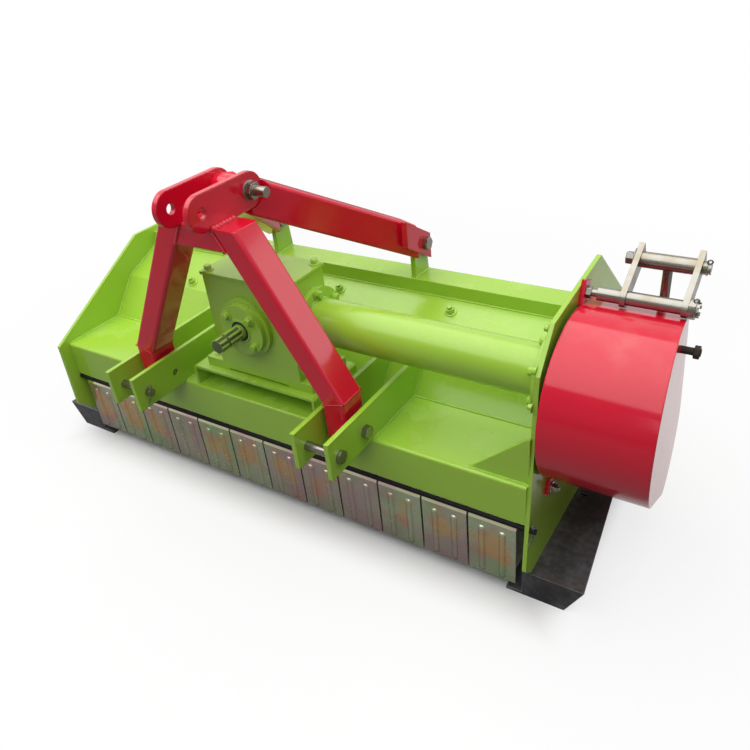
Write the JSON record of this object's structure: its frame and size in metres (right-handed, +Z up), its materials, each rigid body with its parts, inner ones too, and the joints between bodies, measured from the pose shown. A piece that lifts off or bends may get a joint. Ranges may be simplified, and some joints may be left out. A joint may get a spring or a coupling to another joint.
{
  "type": "three-point flail straw mulcher",
  "caption": "Tractor-mounted straw mulcher: flail rotor under a bent sheet hood, gearbox, belt drive guard, A-frame hitch mast, hinged front flaps and skids.",
  "frame": {"origin": "centre of the footprint's box, on the ground under the skids", "axes": "+X towards the belt side, -Y towards the tractor, +Z up"},
  "size_m": [1.942, 0.853, 0.955],
  "materials": {
    "green_paint": "glossy yellow-green enamel",
    "red_paint": "glossy red enamel",
    "yellow_zinc": "yellow iridescent zinc passivation",
    "bright_zinc": "bright zinc plate",
    "black_paint": "satin black, scuffed",
    "bare_steel": "oiled bare steel",
    "belt_rubber": "matt rubber"
  },
  "bodies": {
    "frame": {"bearing_cap": "green_paint", "belt_guard": "red_paint", "counter_knives": "bare_steel", "drive_belts": "belt_rubber", "drive_tube": "green_paint", "flap_rod": "black_paint", "gearbox_bench": "green_paint", "gearbox_housing": "green_paint", "gearbox_lid": "green_paint", "guard_tabs": "red_paint", "hitch_bars_left": "green_paint", "hitch_bars_right": "green_paint", "hitch_pins": "bright_zinc", "hood_beam": "green_paint", "hood_front": "green_paint", "hood_rear": "green_paint", "hood_roof": "green_paint", "idler_bolt": "black_paint", "leg_bolts": "bright_zinc", "mast_bolt": "bright_zinc", "mast_crossbar": "red_paint", "mast_ears": "red_paint", "mast_leg_left": "red_paint", "mast_leg_right": "red_paint", "mast_strut_left": "red_paint", "mast_strut_right": "red_paint", "rotor_bearings": "green_paint", "shelf_gusset": "green_paint", "side_plate_left": "green_paint", "side_plate_right": "green_paint", "skid_left": "black_paint", "skid_right": "black_paint", "strut_bolts": "bright_zinc", "strut_brackets": "green_paint", "tensioner_arms": "bright_zinc", "tensioner_rod": "bright_zinc", "tensioner_shaft": "bright_zinc"},
    "rotor": {"rotor_tube": "green_paint", "rotor_flails": "bare_steel", "rotor_pulley": "bare_steel"},
    "cross_drive": {"cross_shaft": "bare_steel"},
    "pto_input": {"input_shaft": "green_paint"},
    "flap_01_body": {"flap_01": "yellow_zinc"},
    "flap_02_body": {"flap_02": "yellow_zinc"},
    "flap_03_body": {"flap_03": "yellow_zinc"},
    "flap_04_body": {"flap_04": "yellow_zinc"},
    "flap_05_body": {"flap_05": "yellow_zinc"},
    "flap_06_body": {"flap_06": "yellow_zinc"},
    "flap_07_body": {"flap_07": "yellow_zinc"},
    "flap_08_body": {"flap_08": "yellow_zinc"},
    "flap_09_body": {"flap_09": "yellow_zinc"},
    "flap_10_body": {"flap_10": "yellow_zinc"},
    "flap_11_body": {"flap_11": "yellow_zinc"},
    "flap_12_body": {"flap_12": "yellow_zinc"}
  },
  "joints": [
    {"name": "rotor_spin", "type": "hinge", "parent": "frame", "child": "rotor", "pos_m": [-0.062, 0.1365, 0.25], "axis": [1, 0, 0], "continuous": true},
    {"name": "cross_spin", "type": "hinge", "parent": "frame", "child": "cross_drive", "pos_m": [0.77, -0.1335, 0.571], "axis": [1, 0, 0], "continuous": true},
    {"name": "input_spin", "type": "hinge", "parent": "frame", "child": "pto_input", "pos_m": [-0.05, -0.2325, 0.571], "axis": [0, 1, 0], "continuous": true},
    {"name": "flap_01_swing", "type": "hinge", "parent": "frame", "child": "flap_01_body", "pos_m": [-0.7495, -0.2575, 0.2295], "axis": [1, 0, 0], "range_deg": [-90, 75]},
    {"name": "flap_02_swing", "type": "hinge", "parent": "frame", "child": "flap_02_body", "pos_m": [-0.6245, -0.2575, 0.2295], "axis": [1, 0, 0], "range_deg": [-90, 75]},
    {"name": "flap_03_swing", "type": "hinge", "parent": "frame", "child": "flap_03_body", "pos_m": [-0.4995, -0.2575, 0.2295], "axis": [1, 0, 0], "range_deg": [-90, 75]},
    {"name": "flap_04_swing", "type": "hinge", "parent": "frame", "child": "flap_04_body", "pos_m": [-0.3745, -0.2575, 0.2295], "axis": [1, 0, 0], "range_deg": [-90, 75]},
    {"name": "flap_05_swing", "type": "hinge", "parent": "frame", "child": "flap_05_body", "pos_m": [-0.2495, -0.2575, 0.2295], "axis": [1, 0, 0], "range_deg": [-90, 75]},
    {"name": "flap_06_swing", "type": "hinge", "parent": "frame", "child": "flap_06_body", "pos_m": [-0.1245, -0.2575, 0.2295], "axis": [1, 0, 0], "range_deg": [-90, 75]},
    {"name": "flap_07_swing", "type": "hinge", "parent": "frame", "child": "flap_07_body", "pos_m": [0.0005, -0.2575, 0.2295], "axis": [1, 0, 0], "range_deg": [-90, 75]},
    {"name": "flap_08_swing", "type": "hinge", "parent": "frame", "child": "flap_08_body", "pos_m": [0.1255, -0.2575, 0.2295], "axis": [1, 0, 0], "range_deg": [-90, 75]},
    {"name": "flap_09_swing", "type": "hinge", "parent": "frame", "child": "flap_09_body", "pos_m": [0.2505, -0.2575, 0.2295], "axis": [1, 0, 0], "range_deg": [-90, 75]},
    {"name": "flap_10_swing", "type": "hinge", "parent": "frame", "child": "flap_10_body", "pos_m": [0.3755, -0.2575, 0.2295], "axis": [1, 0, 0], "range_deg": [-90, 75]},
    {"name": "flap_11_swing", "type": "hinge", "parent": "frame", "child": "flap_11_body", "pos_m": [0.5005, -0.2575, 0.2295], "axis": [1, 0, 0], "range_deg": [-90, 75]},
    {"name": "flap_12_swing", "type": "hinge", "parent": "frame", "child": "flap_12_body", "pos_m": [0.6255, -0.2575, 0.2295], "axis": [1, 0, 0], "range_deg": [-90, 75]}
  ],
  "couplings": [
    {"joint": "cross_spin", "follows": "rotor_spin", "ratio": 0.71795},
    {"joint": "input_spin", "follows": "rotor_spin", "ratio": 0.27827}
  ]
}
